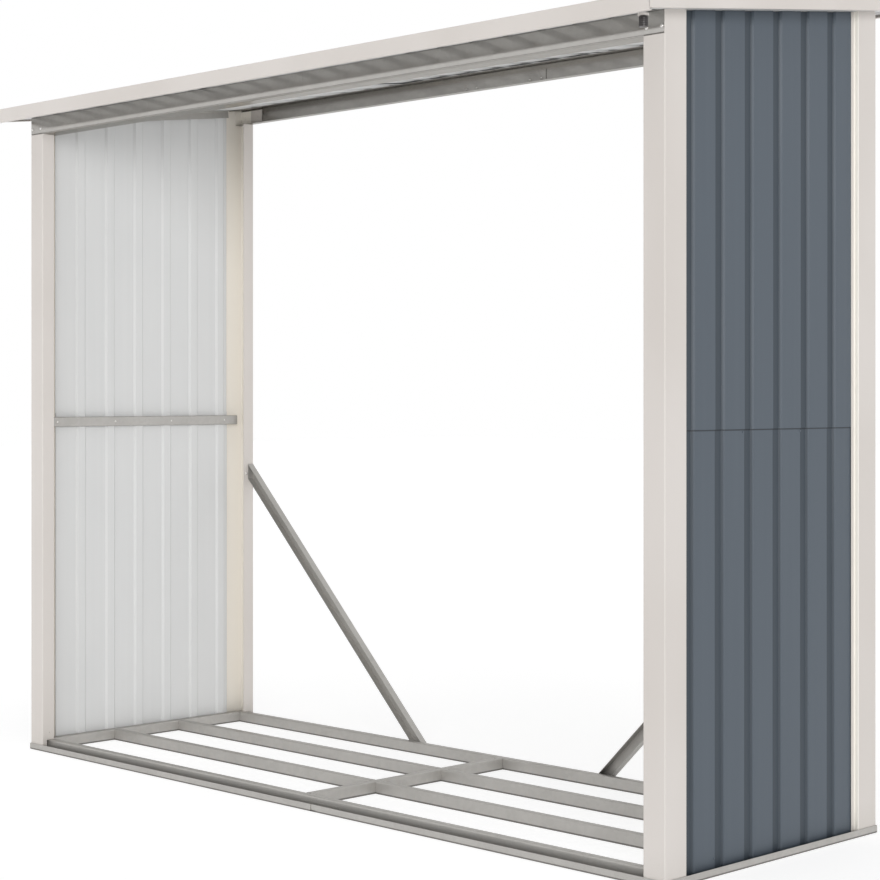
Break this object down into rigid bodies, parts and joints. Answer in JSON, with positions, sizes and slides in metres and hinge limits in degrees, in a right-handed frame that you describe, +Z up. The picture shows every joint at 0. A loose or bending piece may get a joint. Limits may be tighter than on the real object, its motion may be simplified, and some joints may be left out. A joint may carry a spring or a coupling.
{
  "type": "log store",
  "caption": "Log store of folded and corrugated steel, open at front and back, with closed ends and a roof that falls to the front.",
  "frame": {"origin": "on the ground, under the middle of the store's overall box", "axes": "+Z up, +X to the right seen from the open low side, -Y towards the open low side"},
  "size_m": [2.45, 1.001, 1.9722],
  "materials": {
    "cream_trim": "satin off-white paint on folded steel: posts, corner brackets and roof trims",
    "wall_sheet": "satin blue-grey paint outside, pale grey back coat inside",
    "roof_sheet": "satin blue-grey paint on top, pale grey back coat underneath",
    "galvanised_frame": "smooth galvanised steel: base rails, floor members, beams, wall rails and braces",
    "zinc_fastener": "bright zinc screws and bolt heads",
    "black_plastic": "ribbed black knob under the roof at the corner"
  },
  "bodies": {
    "root": {"base_cross_member": "galvanised_frame", "front_base_rail_left": "galvanised_frame", "front_base_rail_right": "galvanised_frame", "front_base_splice": "galvanised_frame", "front_beam_left": "galvanised_frame", "front_beam_right": "galvanised_frame", "front_beam_splice": "galvanised_frame", "front_fascia": "cream_trim", "front_joist_left": "galvanised_frame", "front_joist_right": "galvanised_frame", "front_left_bracket": "cream_trim", "front_left_post": "cream_trim", "front_right_bracket": "cream_trim", "front_right_post": "cream_trim", "left_base_rail": "galvanised_frame", "left_brace": "galvanised_frame", "left_mid_rail": "galvanised_frame", "left_top_rail": "galvanised_frame", "left_verge_trim": "cream_trim", "left_wall_lower": "wall_sheet", "left_wall_upper": "wall_sheet", "rear_base_rail_left": "galvanised_frame", "rear_base_rail_right": "galvanised_frame", "rear_base_splice": "galvanised_frame", "rear_beam_left": "galvanised_frame", "rear_beam_right": "galvanised_frame", "rear_beam_splice": "galvanised_frame", "rear_fascia": "cream_trim", "rear_joist_left": "galvanised_frame", "rear_joist_right": "galvanised_frame", "rear_left_bracket": "cream_trim", "rear_left_post": "cream_trim", "rear_right_bracket": "cream_trim", "rear_right_post": "cream_trim", "right_base_rail": "galvanised_frame", "right_brace": "galvanised_frame", "right_mid_rail": "galvanised_frame", "right_top_rail": "galvanised_frame", "right_verge_trim": "cream_trim", "right_wall_lower": "wall_sheet", "right_wall_upper": "wall_sheet", "roof_sheet_left": "roof_sheet", "roof_sheet_middle": "roof_sheet", "roof_sheet_right": "roof_sheet"}
  },
  "joints": []
}
